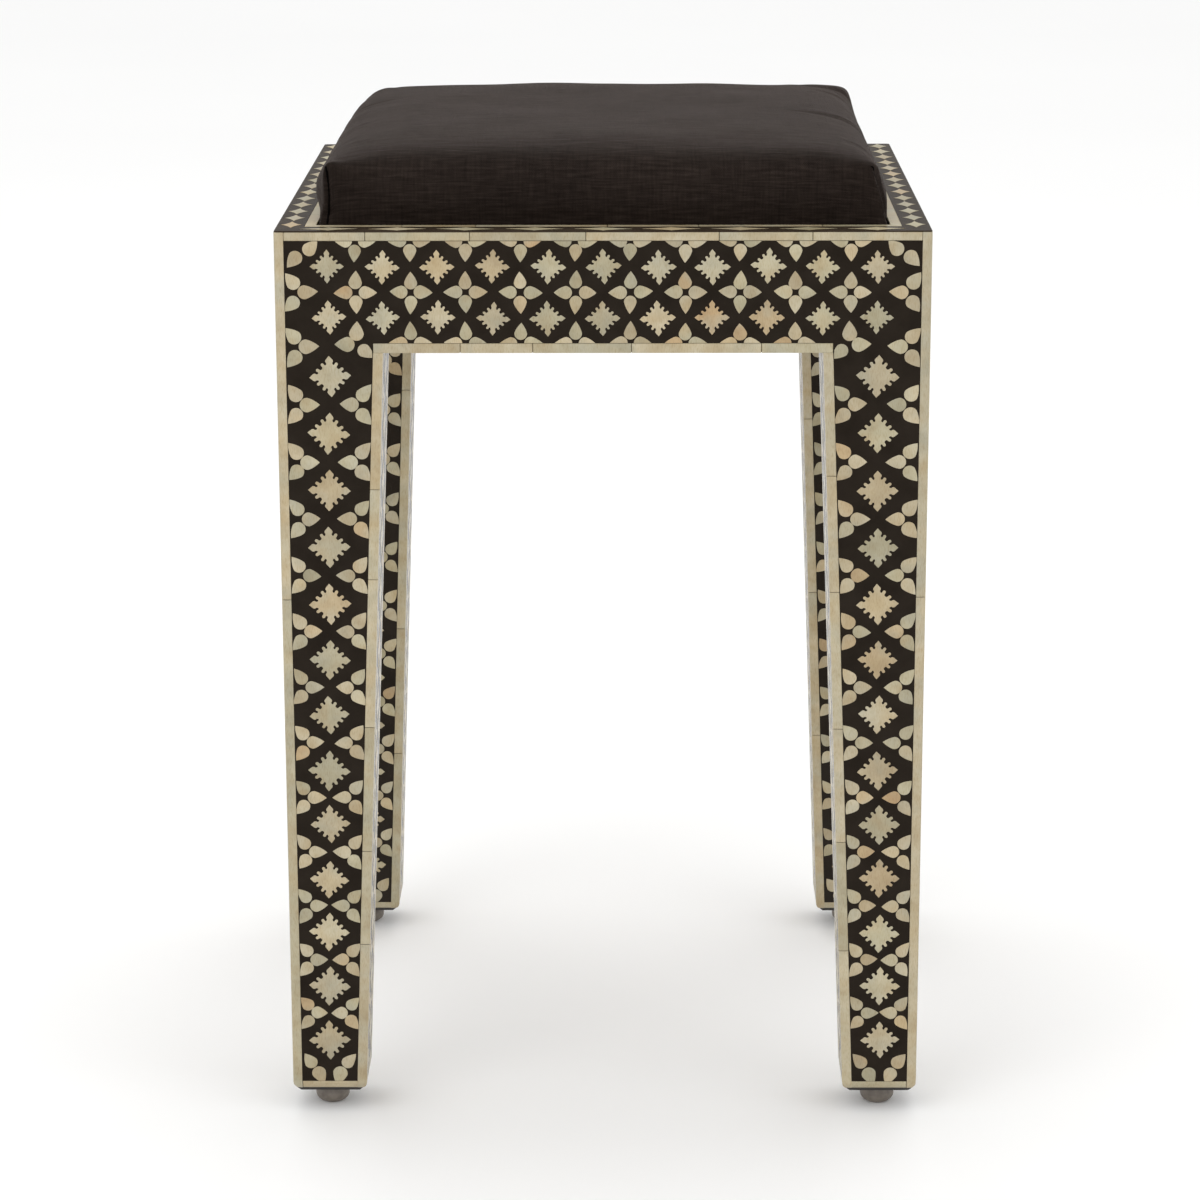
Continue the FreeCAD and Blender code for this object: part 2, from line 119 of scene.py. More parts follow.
SIDES = {"front": 0, "right": 90, "rear": 180, "left": 270}
LEGS = {
    "front_left": (0, -HALF, -HALF),
    "front_right": (90, HALF, -HALF),
    "rear_right": (180, HALF, HALF),
    "rear_left": (270, -HALF, HALF),
}

SEED = 20
rng = random.Random(SEED)


# Places: each face of the stool has its own flat coordinates

def turn(degrees):
    angle = math.radians(degrees)
    return math.cos(angle), math.sin(angle)


def side_place(side):
    """Maps along a side, up, and out of its face."""
    c, s = turn(SIDES[side])

    def place(u, z, out):
        v = -HALF - out
        return c * u - s * v, s * u + c * v, z
    return place


def top_place(side):
    """Maps along a rail, inwards over its top, and up from it."""
    c, s = turn(SIDES[side])

    def place(u, w, out):
        v = w - HALF
        return c * u - s * v, s * u + c * v, TOP_Z + out
    return place


def leg_place(leg):
    """Maps a leg's own frame, from its outer corner inwards."""
    degrees, x0, y0 = LEGS[leg]
    c, s = turn(degrees)

    def place(x, y, z):
        return x0 + c * x - s * y, y0 + s * x + c * y, z
    return place


def inner_place(leg, swap):
    """Maps across one inner face of a leg, up, and out of it."""
    place = leg_place(leg)

    def inner(a, z, out):
        x = leg_side(z) + out
        return place(a, x, z) if swap else place(x, a, z)
    return inner


def leg_side(z):
    share = min(1.0, (z - FOOT_Z) / (APRON_Z - FOOT_Z))
    return LEG_FOOT + (LEG_TOP - LEG_FOOT) * share


def foot_inset(z):
    rise = z - FOOT_Z
    if rise >= FOOT_ROUND:
        return 0.0
    return FOOT_ROUND - math.sqrt(FOOT_ROUND ** 2 - (FOOT_ROUND - rise) ** 2)


# Meshes

# Edges that turn by more than this, in radians, are eased
SHARP = 0.5
NO_TONE = 0, 0, 0


def ring_faces(count, levels):
    """Quads between rings of points that follow each other."""
    faces = []
    for low in range(0, count * (levels - 1), count):
        for i in range(count):
            j = (i + 1) % count
            faces.append([low + i, low + j, low + count + j, low + count + i])
    return faces


class Bones:
    """Loose solids gathered into one mesh, each with three numbers of its own for its tone."""

    def __init__(self):
        self.points, self.faces, self.tones = [], [], []

    def add_mesh(self, points, faces, tone=NO_TONE):
        start = len(self.points)
        self.points += [Vector(point) * MM for point in points]
        self.faces += [[start + number for number in face] for face in faces]
        self.tones += [tone] * len(faces)

    def add(self, rings, tone=NO_TONE, hubs=()):
        """A closed solid lofted through rings of points with the same count.

        Its two ends are flat faces or, with hubs, fans about the two hub points.
        """
        count = len(rings[0])
        points = [point for ring in rings for point in ring]
        last = count * (len(rings) - 1)
        ends = [list(range(count - 1, -1, -1)), list(range(last, last + count))]
        faces = [] if hubs else ends
        for hub, end in zip(hubs, ends):
            faces += [[len(points), a, b] for a, b in zip(end, end[1:] + end[:1])]
            points.append(hub)
        self.add_mesh(points, faces + ring_faces(count, len(rings)), tone)

    def make(self, name, material, slot, nodes=(), ease=0.0, body="frame"):
        mesh = bpy.data.meshes.new(name)
        mesh.from_pydata(self.points, [], self.faces)
        layer = mesh.attributes.new("tone", "FLOAT_VECTOR", "FACE")
        layer.data.foreach_set("vector", [value for tone in self.tones for value in tone])
        bm = bmesh.new()
        bm.from_mesh(mesh)
        bmesh.ops.recalc_face_normals(bm, faces=bm.faces)
        if ease:
            sharp = [e for e in bm.edges if len(e.link_faces) == 2 and e.calc_face_angle() > SHARP]
            bmesh.ops.bevel(bm, geom=sharp, offset=ease * MM, segments=1, affect="EDGES",
                            clamp_overlap=True, profile=0.5)
        bm.to_mesh(mesh)
        bm.free()
        piece = bpy.data.objects.new(name, mesh)
        bpy.context.scene.collection.objects.link(piece)
        mesh.materials.append(material)
        finish_piece(piece, nodes, body)
        return piece


def finish_piece(piece, nodes, body):
    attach(piece, body)
    if nodes:
        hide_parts(*nodes)


def new_tone():
    return rng.random(), rng.random(), rng.random()


def strip_tone():
    """Long strips are sawn from the evener bone."""
    return rng.uniform(0.3, 0.82), rng.uniform(0.2, 0.8), rng.random()


def area(outline):
    return sum(a * d - b * c for (a, b), (c, d) in zip(outline, outline[1:] + outline[:1])) / 2


def shrunk(outline, inset):
    """The outline drawn in by a small inset, point by point."""
    way = 1 if area(outline) > 0 else -1
    result = []
    for before, here, after in zip(outline[-1:] + outline[:-1], outline, outline[1:] + outline[:1]):
        along = (Vector(here) - Vector(before)).normalized() + (Vector(after) - Vector(here)).normalized()
        normal = Vector((-along.y, along.x)).normalized() * way
        result.append(tuple(Vector(here) + normal * inset))
    return result


def clipped(outline, planes):
    """The part of a convex outline that satisfies a*x + b*y <= c for every plane."""
    for a, b, c in planes:
        result = []
        for p, q in zip(outline, outline[1:] + outline[:1]):
            inside_p, inside_q = c - a * p[0] - b * p[1], c - a * q[0] - b * q[1]
            if inside_p >= 0:
                result.append(p)
            if inside_p * inside_q < 0:
                t = inside_p / (inside_p - inside_q)
                result.append((p[0] + t * (q[0] - p[0]), p[1] + t * (q[1] - p[1])))
        outline = result
        if len(outline) < 3:
            return []
    return outline


def drawn_in(outline, middle, inset):
    """The outline drawn in towards a middle point, which keeps even the sharpest tips clean."""
    result = []
    for point in outline:
        arm = Vector(point) - middle
        result.append(tuple(middle + arm * max(0.0, 1 - inset / arm.length)))
    return result


def inlay(bones, outline, place, fanned=True):
    """A thin plate let into a face, a hair proud of it, with an eased rim; slivers are left out."""
    if len(outline) < 3 or abs(area(outline)) < 1.0:
        return
    middle = Vector((sum(a for a, b in outline), sum(b for a, b in outline))) / len(outline)
    inner = drawn_in(outline, middle, INLAY_EASE) if fanned else shrunk(outline, INLAY_EASE)
    rings = [
        [place(a, b, -INLAY_DEPTH) for a, b in outline],
        [place(a, b, INLAY_RIM) for a, b in outline],
        [place(a, b, INLAY_PROUD) for a, b in inner],
    ]
    hubs = [place(middle.x, middle.y, out) for out in (-INLAY_DEPTH, INLAY_PROUD)] if fanned else ()
    bones.add(rings, new_tone(), hubs)


def moved(outline, x, y, degrees, scale):
    c, s = turn(degrees)
    return [(x + scale * (c * a - s * b), y + scale * (s * a + c * b)) for a, b in outline]


# Motifs

def arc(x, y, radius, first, last, count):
    """Points on an arc about (x, y), between two angles in degrees."""
    turns = [math.radians(first + (last - first) * i / (count - 1)) for i in range(count)]
    return [(x + radius * math.cos(a), y + radius * math.sin(a)) for a in turns]


# One eighth of a star, from its tip to the diagonal, with half of its height as the unit
STAR_TIP = [(0.0, 1.0)] + arc(0.121, 0.746, 0.098, 41, -61, 5)
STAR_NECK = arc(0.207, 0.62, 0.052, 190, 343, 4)
STAR_LOBE = arc(0.345, 0.603, 0.08, 139, -37, 6)
STAR_VALLEY = arc(0.426, 0.45, 0.078, 130, 238, 4)


def star(wide, body):
    """A lozenge with four pointed lobes and two small round lobes on every side, one across."""
    half = [(a * wide, b) for a, b in STAR_TIP]
    half += [(a * body, b * body) for a, b in STAR_NECK + STAR_LOBE + STAR_VALLEY]
    quarter = half + [(b, a) for a, b in reversed(half[1:-1])]
    outline = []
    for k in range(4):
        outline += moved(quarter, 0, 0, -90 * k, 0.5)
    return outline


def petal(round_radius, length):
    """A drop along +x, with the centre of its round end at the origin."""
    r, tip = round_radius, length - round_radius
    steps, handle, bulge = 12, 0.48, 0.8
    back = arc(0, 0, r, 90, 270, 21)
    side = []
    for i in range(1, steps):
        t = i / steps
        x = 2 * t * (1 - t) * handle * tip + t * t * tip
        y = (1 - t) ** 2 * r + 2 * t * (1 - t) * bulge * r
        side.append((x, y))
    return side[::-1] + back + [(a, -b) for a, b in side] + [(tip, 0.0)]


def lozenge(long, across):
    """A four-point star with hollow sides, long one way."""
    count, hollow_long, hollow_across = 40, 3.0, 2.4
    outline = []
    for k in range(count):
        angle = 2 * math.pi * k / count
        c, s = math.cos(angle), math.sin(angle)
        outline.append((long * math.copysign(abs(c) ** hollow_long, c),
                        across * math.copysign(abs(s) ** hollow_across, s)))
    return outline


def jitter(amount):
    return rng.uniform(-amount, amount)


def uneven(share):
    """A factor a little over or under one, as in work cut by hand."""
    return 1 + jitter(share)


def put_star(bones, place, u, z, size, wide, body):
    outline = moved(star(wide * uneven(0.08), body), u + jitter(STAR_DRIFT), z + jitter(STAR_DRIFT),
                    jitter(4.0), size * uneven(0.04))
    inlay(bones, outline, place, fanned=False)


def put_petal(bones, place, u, z, degrees, size, planes):
    shape = petal(PETAL_ROUND * uneven(0.05), PETAL_LENGTH * uneven(0.05))
    outline = moved(shape, u + jitter(PETAL_DRIFT), z + jitter(PETAL_DRIFT), degrees + jitter(5.0), size)
    inlay(bones, clipped(outline, planes), place)


def trio(bones, place, border, inward, z, size, planes):
    """Half a flower against a border: a petal pointing in, and two that slant out to the border."""
    base = 0 if inward > 0 else 180
    for reach, rise, slant in TRIO:
        level = z + rise * size
        u = border(level) + inward * reach * size
        put_petal(bones, place, u, level, base + inward * slant, size, planes)


def border_plane(border, inward):
    """Half plane on the inner side of a straight border."""
    low, high = border(FOOT_Z + EDGE), border(APRON_Z)
    slope = (high - low) / (APRON_Z - FOOT_Z - EDGE)
    at_zero = low - slope * (FOOT_Z + EDGE) + BORDER_ROOM * inward
    return (-inward, inward * slope, -inward * at_zero)


def leg_pattern(bones_star, bones_petal, place, outer, inner, top):
    """Stars down the middle of a leg's face with half flowers on both borders.

    On an outer face, the first half flower of the inner border gives way to the corner flower.
    """
    inward = 1 if inner(0) > outer(0) else -1
    borders = (outer, inward), (inner, -inward)
    low = FOOT_Z + EDGE
    planes = [border_plane(border, way) for border, way in borders]
    planes += [(0, -1, -(low + END_ROOM)), (0, 1, top - END_ROOM)]
    for i in range(1, LEG_STARS + 1):
        z = STAR_ROWS[0] - LEG_PITCH * i
        put_star(bones_star, place, (outer(z) + inner(z)) / 2, z, *LEG_STAR)
        level = z + LEG_PITCH / 2
        size = FOOT_PETAL + (1 - FOOT_PETAL) * (level - FOOT_Z) / (APRON_Z - FOOT_Z)
        for border, way in borders:
            if i > 1 or top <= APRON_Z or border is outer:
                trio(bones_petal, place, border, way, level, size, planes)
    for border, way in borders:
        for reach, rise, base, slant, size in FOOT_PAIR:
            put_petal(bones_petal, place, border(low) + way * reach, low + rise, base + way * slant,
                      size, planes)


def side_pattern(side):
    """Stars and flowers of one outer side: the apron and the faces of two legs."""
    place = side_place(side)
    stars, petals = Bones(), Bones()
    top, low = TOP_Z - EDGE, APRON_Z + EDGE
    for row in STAR_ROWS:
        for i in range(STAR_GAPS + 1):
            put_star(stars, place, STAR_PITCH * i - STAR_REACH, row, *APRON_STAR)
    apron = [(0, 1, top - END_ROOM), (0, -1, -(low + END_ROOM))]
    flowers = (APRON_MIDDLE, (0, 90, 180, 270)), (top, (0, 180, 270)), (low, (0, 90, 180))
    for i in range(STAR_GAPS):
        u = STAR_PITCH * (i + 0.5) - STAR_REACH
        for level, ways in flowers:
            if level == low and i in (0, STAR_GAPS - 1):
                corner_flower(petals, place, u, low, 1 if i else -1)
                continue
            for degrees in ways:
                c, s = turn(degrees)
                put_petal(petals, place, u + FLOWER_REACH * c, level + FLOWER_REACH * s, degrees,
                          APRON_PETAL, apron)
    for way in (-1, 1):
        outer = lambda z, way=way: way * (HALF - EDGE)
        inner = lambda z, way=way: way * (HALF - leg_side(z) + EDGE)
        edge = border_plane(outer, -way)
        trio(petals, place, outer, -way, APRON_MIDDLE, BORDER_PETAL, [edge])
        for (reach, drop, slant), planes in ((UPPER_PETAL, [edge]), (TOP_PETAL, apron)):
            put_petal(petals, place, outer(top) - way * reach, top - drop, 90 + way * slant,
                      BORDER_PETAL, planes)
        leg_pattern(stars, petals, place, outer, inner, LEG_FIELD_TOP)
    return stars, petals


def corner_flower(petals, place, u, z, way):
    """Flower over the inner corner of apron and leg: up, towards the leg, and out to the corner."""
    beside_leg = (-way, 0, -(LEG_LINE + CORNER_ROOM))
    for reach, rise, slant, size in CORNER_FLOWER:
        put_petal(petals, place, u + way * reach, z + rise, 90 + way * slant, size, [beside_leg])


# Edging

def cuts(start, end, mean):
    """Ends of bones laid in a row, of uneven length."""
    count = max(1, int(round((end - start) / mean)))
    marks = [start]
    for i in range(1, count):
        marks.append(start + (end - start) * (i + jitter(CUT_DRIFT)) / count)
    return marks + [end]


# Levels of the rounded foot, as shares of its quarter turn, and of the strips across it
FOOT_TURNS = 0.62, 0.48, 0.33, 0.17, 0.0
FOOT_LEVELS = 0.9, 2.0, FOOT_ROUND, EDGE


def upright(bones, place, section, high, mean):
    """Bones in a row up a leg, with a section that changes with height."""
    marks = cuts(FOOT_Z, high, mean)
    for a, b in zip(marks, marks[1:]):
        levels = [a, b - JOINT if b < high else b]
        if a == FOOT_Z:
            levels[:1] = [FOOT_Z + FOOT_ROUND * (1 - math.sin(t * math.pi / 2)) for t in FOOT_TURNS]
        rings = [[place(x, y, z) for x, y in section(foot_inset(z), leg_side(z))] for z in levels]
        bones.add(rings, strip_tone())


def swapped(section):
    return lambda o, s: [(y, x) for x, y in section(o, s)]


def rounded(o, radius):
    """Half of a rounded corner that starts at (o, o), from its middle to its end."""
    return arc(o + radius, o + radius, radius, 225, 270, 4)


def corner_section(o, s):
    return rounded(o, min(CORNER_ROUND, 2 * (SKIN - o))) + [(EDGE, o), (EDGE, SKIN), (SKIN, SKIN)]


# Strips of a leg: section, upper end, and mean length of a bone
LEG_SECTIONS = (
    (corner_section, TOP_Z - LIP, 190),
    (lambda o, s: [(s - EDGE, o), (s - o, o), (s - o, SKIN), (s - EDGE, SKIN)], APRON_Z, 66),
    (lambda o, s: [(s - SKIN, SKIN), (s - o, SKIN), (s - o, EDGE), (s - SKIN, EDGE)], APRON_Z, 80),
    (lambda o, s: [(s - SKIN, s - EDGE), (s - o, s - EDGE), (s - o, s - o), (s - SKIN, s - SKIN)],
     APRON_Z, 90),
)


def leg_strips(leg):
    place = leg_place(leg)
    bones = Bones()
    for section, high, mean in LEG_SECTIONS:
        upright(bones, place, section, high, mean)
        upright(bones, place, swapped(section), high, mean)
    for swap in (False, True):
        for inner in (False, True):
            rings = []
            for z in (FOOT_Z + rise for rise in FOOT_LEVELS):
                o, s = foot_inset(z), leg_side(z)
                if inner:
                    ring = [(s - SKIN, EDGE), (s - o, EDGE), (s - o, s - EDGE), (s - SKIN, s - EDGE)]
                else:
                    ring = [(EDGE, o), (s - EDGE, o), (s - EDGE, SKIN), (EDGE, SKIN)]
                ring = [(a + (JOINT if a == EDGE else 0), b) for a, b in ring]
                rings.append([place(y, x, z) if swap else place(x, y, z) for x, y in ring])
            bones.add(rings, strip_tone())
    return bones


def plate(bones, outline, place, tone=NO_TONE):
    bones.add([[place(a, b, out) for a, b in outline] for out in (-SKIN, 0)], tone)


def row(start, end):
    """The two ends of each bone in a row, with half a joint off both."""
    marks = cuts(start, end, STRIP_LENGTH)
    return [(a + JOINT / 2, b - JOINT / 2) for a, b in zip(marks, marks[1:])]


def apron_strips(side):
    place = side_place(side)
    bones = Bones()
    for start, end, low, high in ((-(HALF - EDGE), HALF - EDGE, TOP_Z - EDGE, TOP_Z - LIP),
                                  (-LEG_LINE, LEG_LINE, APRON_Z, APRON_Z + EDGE)):
        section = ((low, 0), (high, 0), (high, -SKIN), (low, -SKIN))
        for ends in row(start, end):
            bones.add([[place(u, z, out) for z, out in section] for u in ends], strip_tone())
    return bones


def top_strips():
    bones = Bones()
    near, far = TOP_FIELD[1], RAIL
    for side in SIDES:
        place = top_place(side)
        reach = HALF - near
        for a, b in row(-reach, reach):
            far_a, far_b = max(a, -(HALF - far)), min(b, HALF - far)
            ring = ((a, near), (b, near), (far_b, far), (far_a, far))
            plate(bones, ring, place, strip_tone())
    return bones


# Grounds

def side_ground(side):
    inner = [(HALF - leg_side(z) + EDGE, z) for z in (APRON_Z + EDGE, APRON_Z, FOOT_Z + EDGE)]
    right = inner + [(HALF - EDGE, FOOT_Z + EDGE), (HALF - EDGE, TOP_Z - EDGE)]
    bones = Bones()
    plate(bones, right + [(-u, z) for u, z in reversed(right)], side_place(side))
    return bones


def inner_ground(leg):
    low, high = FOOT_Z + EDGE, APRON_Z
    outline = [(EDGE, low), (leg_side(low) - EDGE, low), (leg_side(high) - EDGE, high), (EDGE, high)]
    bones = Bones()
    for swap in (False, True):
        plate(bones, outline, inner_place(leg, swap))
    return bones


def top_ground():
    bones = Bones()
    near, far = TOP_FIELD
    for side in SIDES:
        place = top_place(side)
        rings = []
        for start, radius, out in ((near, BAND_EASE, -SKIN), (near, BAND_EASE, -LIP),
                                   (BAND_INSET, CORNER_ROUND, -LIP), (BAND_INSET, CORNER_ROUND, -BAND_EASE),
                                   (BAND_INSET + BAND_EASE, CORNER_ROUND, 0)):
            corner = [(a - HALF, b) for a, b in rounded(start, radius)]
            outline = corner + [(-u, w) for u, w in reversed(corner)]
            outline += [(HALF - far, far), (-(HALF - far), far)]
            rings.append([place(u, w, out) for u, w in outline])
        bones.add(rings)
    return bones


# Lozenges: first and last centre along each rail, how many, and half their length
FRONT_LOZENGES = -137.6, 137.6, 9, 14.5
LOZENGES = {
    "front": FRONT_LOZENGES,
    "right": (-144.0, 153.0, 14, 10.4),
    "rear": FRONT_LOZENGES,
    "left": (-153.0, 144.0, 14, 10.4),
}


def top_lozenges():
    bones = Bones()
    middle = TOP_FIELD[1] / 2
    for side, (first, last, count, long) in LOZENGES.items():
        place = top_place(side)
        for i in range(count):
            u = first + (last - first) * i / (count - 1)
            shape = lozenge(long, LOZENGE_HALF)
            inlay(bones, moved(shape, u + jitter(0.3), middle + jitter(0.2), jitter(2), 1), place)
    return bones


# Materials

def material(name):
    mat = bpy.data.materials.new(name)
    mat.use_nodes = True
    tree = mat.node_tree
    return mat, tree, tree.nodes["Principled BSDF"]


def put(tree, made, key, value):
    """Sets an input of a node, by its name or number, to a value or a socket."""
    socket = made.inputs[key]
    if isinstance(value, bpy.types.NodeSocket):
        tree.links.new(value, socket)
    else:
        socket.default_value = value


def fill(tree, made, **inputs):
    """Sets inputs of a node by their names, with _ for a space."""
    for key, value in inputs.items():
        put(tree, made, key.replace("_", " "), value)


def add(tree, kind, settings=None, **inputs):
    """A shader node with its settings and inputs."""
    made = tree.nodes.new(kind)
    for key, value in (settings or {}).items():
        setattr(made, key, value)
    fill(tree, made, **inputs)
    return made


def math_node(tree, operation, *values, kind="ShaderNodeMath"):
    made = add(tree, kind, {"operation": operation})
    for number, value in enumerate(values):
        put(tree, made, number, value)
    return made.outputs[0]


def stretched(tree, vector, scale, **inputs):
    return add(tree, "ShaderNodeMapping", Vector=vector, Scale=scale, **inputs).outputs["Vector"]


def ramp(tree, factor, *stops):
    made = add(tree, "ShaderNodeValToRGB", Fac=factor)
    elements = made.color_ramp.elements
    while len(elements) < len(stops):
        elements.new(0.5)
    for element, (at, colour) in zip(elements, stops):
        element.position = at
        element.color = (*colour, 1)
    return made.outputs["Color"]


def greys(tree, factor, *stops):
    return ramp(tree, factor, *((at, (value,) * 3) for at, value in stops))


def mixed(tree, blend, factor, one, two):
    made = add(tree, "ShaderNodeMix", {"data_type": "RGBA", "blend_type": blend})
    for number, value in ((0, factor), (6, one), (7, two)):
        put(tree, made, number, value)
    return made.outputs[2]


def coords(tree, scale=(1, 1, 1)):
    """Place on the object, in steps of the given numbers per metre."""
    return stretched(tree, add(tree, "ShaderNodeTexCoord").outputs["Object"], scale)


def noise_of(tree, vector, scale, detail=3.0, rough=0.55, distortion=0.0):
    made = add(tree, "ShaderNodeTexNoise", Vector=vector, Scale=scale, Detail=detail, Roughness=rough,
               Distortion=distortion)
    return made.outputs["Fac"]


def bump(tree, bsdf, height, strength, distance):
    made = add(tree, "ShaderNodeBump", Height=height, Strength=strength, Distance=distance)
    put(tree, bsdf, "Normal", made.outputs["Normal"])


BONE_TONES = (
    (0.0, (0.44, 0.395, 0.255)), (0.3, (0.475, 0.42, 0.275)), (0.6, (0.52, 0.45, 0.305)),
    (0.83, (0.505, 0.415, 0.26)), (0.95, (0.49, 0.37, 0.21)), (1.0, (0.475, 0.325, 0.165)),
)
BONE_WARM, BONE_COOL = (0.47, 0.35, 0.18, 1), (0.43, 0.405, 0.30, 1)
RESIN_DARK, RESIN_LIGHT = Vector((0.0128, 0.0088, 0.0056)), Vector((0.0205, 0.0150, 0.0104))
FRAME_TONES = (0.055, 0.026, 0.012), (0.16, 0.082, 0.038)
CLEAT_TONES = (0.22, 0.12, 0.055), (0.40, 0.25, 0.13)
# Near black colour for the leg wood's lowest millimetres, and how far above the foot it reaches
FOOT_DARK, FOOT_DARK_RISE = (0.012, 0.009, 0.007, 1), 2.5
FABRIC_TONES = (
    (0.3, (0.0110, 0.0078, 0.0063)), (0.5, (0.0168, 0.0121, 0.0099)), (0.7, (0.0250, 0.0184, 0.0153)),
)
THREAD_PITCH = 0.0011


def bone_material(name, specular, coat):
    """Polished bone: each piece has its own tone, with warm and cool stains, clouds and fine pores."""
    mat, tree, bsdf = material(name)
    tone = add(tree, "ShaderNodeAttribute", {"attribute_name": "tone"}).outputs["Vector"]
    split = add(tree, "ShaderNodeSeparateXYZ", Vector=tone)
    base = ramp(tree, split.outputs["X"], *BONE_TONES)
    place = math_node(tree, "MULTIPLY_ADD", tone, (3, 3, 3), coords(tree), kind="ShaderNodeVectorMath")
    cloud = noise_of(tree, place, 90.0, 3.0)
    stain = noise_of(tree, place, 62.0, 2.0)
    base = mixed(tree, "MIX", greys(tree, stain, (0.5, 0.0), (0.72, 0.6)), base, BONE_WARM)
    base = mixed(tree, "MIX", greys(tree, stain, (0.28, 0.65), (0.47, 0.0)), base, BONE_COOL)
    base = mixed(tree, "SOFT_LIGHT", 0.7, base, greys(tree, cloud, (0.3, 0.34), (0.7, 0.66)))
    pores = noise_of(tree, stretched(tree, place, (1, 1, 0.16), Rotation=(0.3, 0.2, 0.4)), 2600.0, 2.0)
    pits = ramp(tree, pores, (0.32, (0.72, 0.64, 0.5)), (0.5, (1, 1, 1)))
    base = mixed(tree, "MULTIPLY", 0.55, base, pits)
    light = math_node(tree, "MULTIPLY_ADD", split.outputs["Y"], 0.22, 0.74)
    shade = add(tree, "ShaderNodeCombineXYZ", X=light, Y=light, Z=light)
    base = mixed(tree, "MULTIPLY", 1.0, base, shade.outputs[0])
    gloss = math_node(tree, "MULTIPLY_ADD", cloud, 0.24, 0.24)
    fill(tree, bsdf, Base_Color=base, Roughness=gloss, Specular_IOR_Level=specular, Coat_Weight=coat,
         Coat_Roughness=0.14)
    bump(tree, bsdf, pores, 0.25, 0.00005)
    return mat


def resin_material(name, specular, painted_sheen_lift=1.0):
    """Black resin with fine grit and faint upright scratches. A lift above one makes its colour paler, as
    painted sheen.
    """
    mat, tree, bsdf = material(name)
    place = coords(tree)
    cloud = noise_of(tree, place, 60.0, 5.0, 0.6)
    # A lift above one pales the resin's tones: painted sheen in place of the reflection that a face seen at
    # a low angle catches
    base = ramp(tree, cloud, (0.3, RESIN_DARK * painted_sheen_lift), (0.7, RESIN_LIGHT * painted_sheen_lift))
    grit = noise_of(tree, place, 1800.0, 2.0)
    specks = ramp(tree, grit, (0.62, (0, 0, 0)), (0.8, (0.01, 0.009, 0.008)))
    base = mixed(tree, "ADD", 0.5, base, specks)
    scratches = noise_of(tree, stretched(tree, place, (400, 400, 30)), 4.0, 3.0)
    gloss = math_node(tree, "MULTIPLY_ADD", scratches, 0.08, 0.22)
    fill(tree, bsdf, Base_Color=base, Roughness=gloss, Specular_IOR_Level=specular)
    bump(tree, bsdf, grit, 0.12, 0.00005)
    return mat


def wood_material(name, dark, light, along):
    """Wood between a dark and a light tone, with its grain along one axis and a dark foot."""
    mat, tree, bsdf = material(name)
    scale = [55.0, 55.0, 55.0]
    scale[along] = 3.0
    grain = noise_of(tree, coords(tree, scale), 1.6, 6.0, 0.62, 0.6)
    base = ramp(tree, grain, (0.3, dark), (0.62, light))
    fine = noise_of(tree, coords(tree, [9 * s for s in scale]), 1.2, 3.0)
    base = mixed(tree, "MULTIPLY", 0.5, base, greys(tree, fine, (0.35, 0.5), (0.6, 1.0)))
    height = add(tree, "ShaderNodeSeparateXYZ", Vector=coords(tree)).outputs["Z"]
    # The lowest millimetres of the wood are mixed to near black
    foot = math_node(tree, "LESS_THAN", height, (FOOT_Z + FOOT_DARK_RISE) * MM)
    base = mixed(tree, "MIX", foot, base, FOOT_DARK)
    fill(tree, bsdf, Base_Color=base, Roughness=0.6)
    bump(tree, bsdf, fine, 0.3, 0.0002)
    return mat


def mottled(name, scale, noise_settings, relief, dark, light, **inputs):
    """A plain stuff: one noise for its tone, from dark to light, and for its relief."""
    mat, tree, bsdf = material(name)
    cloud = noise_of(tree, coords(tree, scale), *noise_settings)
    fill(tree, bsdf, Base_Color=ramp(tree, cloud, dark, light), **inputs)
    bump(tree, bsdf, cloud, *relief)
    return mat


def plastic_material():
    mat, tree, bsdf = material("glide_plastic")
    place = coords(tree)
    cloud = noise_of(tree, place, 260.0, 4.0)
    base = ramp(tree, cloud, (0.3, (0.13, 0.108, 0.088)), (0.7, (0.21, 0.18, 0.15)))
    fill(tree, bsdf, Base_Color=base, Roughness=0.42)
    bump(tree, bsdf, noise_of(tree, place, 3000.0, 2.0), 0.2, 0.0001)
    return mat


def steel_material():
    return mottled("fastener_steel", (1, 1, 1), (900.0, 3.0), (0.15, 0.0001), (0.3, (0.36, 0.35, 0.33)),
                   (0.7, (0.55, 0.54, 0.52)), Metallic=1.0, Roughness=0.36)


def ply_material():
    """Thin layers on the edges, pale grain on the faces."""
    return mottled("plywood", (60, 4, 700), (1.0, 5.0, 0.6, 0.4), (0.3, 0.0002), (0.3, (0.26, 0.16, 0.08)),
                   (0.65, (0.42, 0.29, 0.16)), Roughness=0.7)


def thread_material():
    # Near black, far below the cover's own tone: the thread is real, and its darkness is painted shade for
    # the dark line of the fold groove it sits in
    return mottled("seam_thread_painted_shade", (300, 300, 1500), (1.0, 2.0), (0.4, 0.0002),
                   (0.3, (0.0008, 0.0006, 0.0005)), (0.7, (0.0026, 0.002, 0.0017)),
                   Roughness=0.7, Specular_IOR_Level=0.02)


